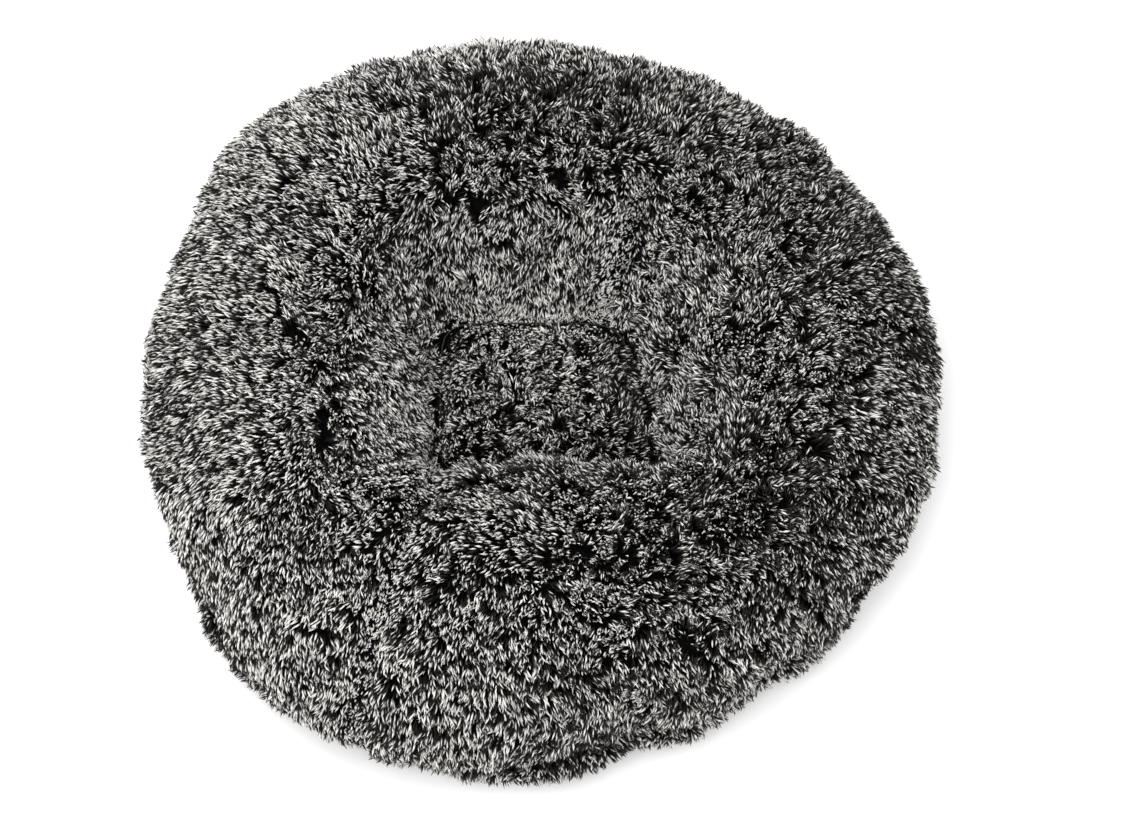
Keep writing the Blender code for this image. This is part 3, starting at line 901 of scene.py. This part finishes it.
def thread_material():
    """Black twisted sewing thread."""
    material, tree, shader = new_material("sewing_thread", 0.55)
    place = tree.nodes.new("ShaderNodeTexCoord")
    twist = tree.nodes.new("ShaderNodeTexWave")
    twist.bands_direction = "DIAGONAL"
    twist.inputs["Scale"].default_value = 900
    tree.links.new(place.outputs["Object"], twist.inputs["Vector"])
    colour = ramp(tree, ((0.2, (0.008, 0.008, 0.008)), (0.8, (0.035, 0.034, 0.033))))
    tree.links.new(twist.outputs["Fac"], colour.inputs[0])
    tree.links.new(colour.outputs[0], shader.inputs["Base Color"])
    return material


def dress_frame():
    """Better materials for the solids that stay as they are."""
    dark, light = (0.008, 0.008, 0.009), (0.035, 0.035, 0.038)
    base_cloth = fabric_material("woven_base", dark, light, 260, 0.85, 0.5)
    shadow, shine = (0.62, 0.62, 0.60), (0.84, 0.84, 0.82)
    satin = fabric_material("label_satin", shadow, shine, 620, 0.4, 0.2)
    thread = thread_material()
    looks = {"base_panel": base_cloth, "care_label": satin}
    for name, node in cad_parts.items():
        if name.endswith("_thread") or name.startswith("quilting_thread"):
            looks[name] = thread
        if name in looks:
            node.data.materials.clear()
            node.data.materials.append(looks[name])


def casing_mesh(name, grid, closed_start):
    """The backing skin over a grid of points; a closed start fills the first row's ring."""
    rows, columns = grid.shape[:2]
    mesh = bpy.data.meshes.new(name)
    index = np.arange(rows * columns).reshape(rows, columns)
    faces = wall_quads(index[:-1], index[1:])
    if closed_start:
        faces.append(index[0].tolist())
    mesh.from_pydata(grid.reshape(-1, 3).tolist(), [], faces)
    mesh.shade_smooth()
    return mesh


def add_cushion():
    rest = lumpy(casing_grid(BACKING_DEPTH + SWELL))
    grid = settled(rest)
    knit = knit_material()
    fur = pile_material()
    skin = casing_mesh("top_cover_backing", grid[: SEAM_ROW + 1], True)
    skin = add_piece("top_cover_backing", skin, knit, "top_cover")
    band = casing_mesh("side_band_backing", grid[SEAM_ROW:], False)
    add_piece("side_band_backing", band, knit, "side_band")
    top = pile(grid, rest, 0, SEAM_ROW - 1)
    add_strands("top_cover_pile", top, fur, 12, "top_cover")
    low = pile(grid, rest, SEAM_ROW, SEAM_ROW + BAND_ROWS - 1, BAND_UPRIGHT)
    add_strands("side_band_pile", low, fur, 4, "side_band")


def closed_rows(name, rows, round_trip):
    """A closed body from rows of points; a ring's last row joins its first, a pad's ends are filled."""
    mesh = bpy.data.meshes.new(name)
    count, columns = rows.shape[:2]
    index = np.arange(count * columns).reshape(count, columns)
    if round_trip:
        faces = wall_quads(index, np.roll(index, -1, 0))
    else:
        faces = wall_quads(index[:-1], index[1:])
        faces += [index[0].tolist(), index[-1, ::-1].tolist()]
    mesh.from_pydata(rows.reshape(-1, 3).tolist(), [], faces)
    mesh.shade_smooth()
    return mesh


def add_fibre():
    """The loose fibre inside the ring and inside the pad."""
    fibre = fibre_material()
    angle = np.linspace(0, 2 * np.pi, COLUMNS // 2, endpoint=False)
    full = np.ones(len(angle))
    over, under = np.linspace(0.08, 0.98, 24), np.linspace(0.15, 0.9, 8)
    rows = [pinched(ring_top(angle, full * share, FIBRE_DEPTH)) for share in over]
    rows += [pinched(band_side(angle, full * share, FIBRE_DEPTH)) for share in under]
    floor = rows[0].copy()
    floor[:, 2] = BASE_FABRIC + FIBRE_FLOOR
    rows = np.array(rows + [rows[-1] * [0.9, 0.9, 1], floor])
    rows[:, :, 2] -= 0.5 * crease_depth(rows[:, :, :2])
    rows[:, :, 2] = np.maximum(rows[:, :, 2], BASE_FABRIC + 0.006)
    ring = closed_rows("ring_fibre", rows, True)
    add_piece("ring_fibre", ring, fibre, "ring_fill")
    pad = [pad_top(angle, full * share, FIBRE_DEPTH) for share in (0.04, 0.3, 0.6, 0.85)]
    low = [pad[i] * [1, 1, 0] + [0, 0, PAD_FIBRE_LOW] for i in (3, 0)]
    pad = closed_rows("pad_fibre", np.array(pad + low), False)
    add_piece("pad_fibre", pad, fibre, "centre_fill")


def add_floor():
    bpy.ops.mesh.primitive_plane_add(size=12)
    floor = bpy.context.object
    floor.name = "floor"
    material, _, shader = new_material("floor_white", 0.9)
    shader.inputs["Base Color"].default_value = (0.95, 0.95, 0.955, 1)
    floor.data.materials.append(material)


def add_light(name, place, size, power, colour=(1, 1, 1)):
    data = bpy.data.lights.new(name, "AREA")
    data.shape, data.size, data.energy, data.color = "DISK", size, power, colour
    light = bpy.data.objects.new(name, data)
    bpy.context.scene.collection.objects.link(light)
    light.location = place
    light.rotation_euler = (Vector((0, 0, 0.05)) - Vector(place)).to_track_quat("-Z", "Y").to_euler()


def add_lights():
    world = bpy.data.worlds.new("studio")
    bpy.context.scene.world = world
    world.use_nodes = True
    world.node_tree.nodes["Background"].inputs[0].default_value = (1, 1, 1, 1)
    world.node_tree.nodes["Background"].inputs[1].default_value = 1.12
    add_light("key", (-1.3, 1.1, 1.9), 1.6, 17)
    add_light("front", (-0.25, -1.1, 2.4), 1.4, 35)


def add_camera():
    data = bpy.data.cameras.new("camera")
    camera = bpy.data.objects.new("camera", data)
    bpy.context.scene.collection.objects.link(camera)
    distance, elevation = 2.2, math.radians(64)
    target = Vector((0, -0.0125, 0.062))
    camera.location = target + distance * Vector((0, -math.cos(elevation), math.sin(elevation)))
    camera.rotation_euler = (target - camera.location).to_track_quat("-Z", "Y").to_euler()
    data.sensor_width, data.lens = 36, 80.8
    data.shift_x, data.shift_y = 0.0225, 0.0
    bpy.context.scene.camera = camera


bpy.context.scene.view_settings.view_transform = "Standard"
add_cushion()
add_fibre()
dress_frame()
add_floor()
add_lights()
add_camera()
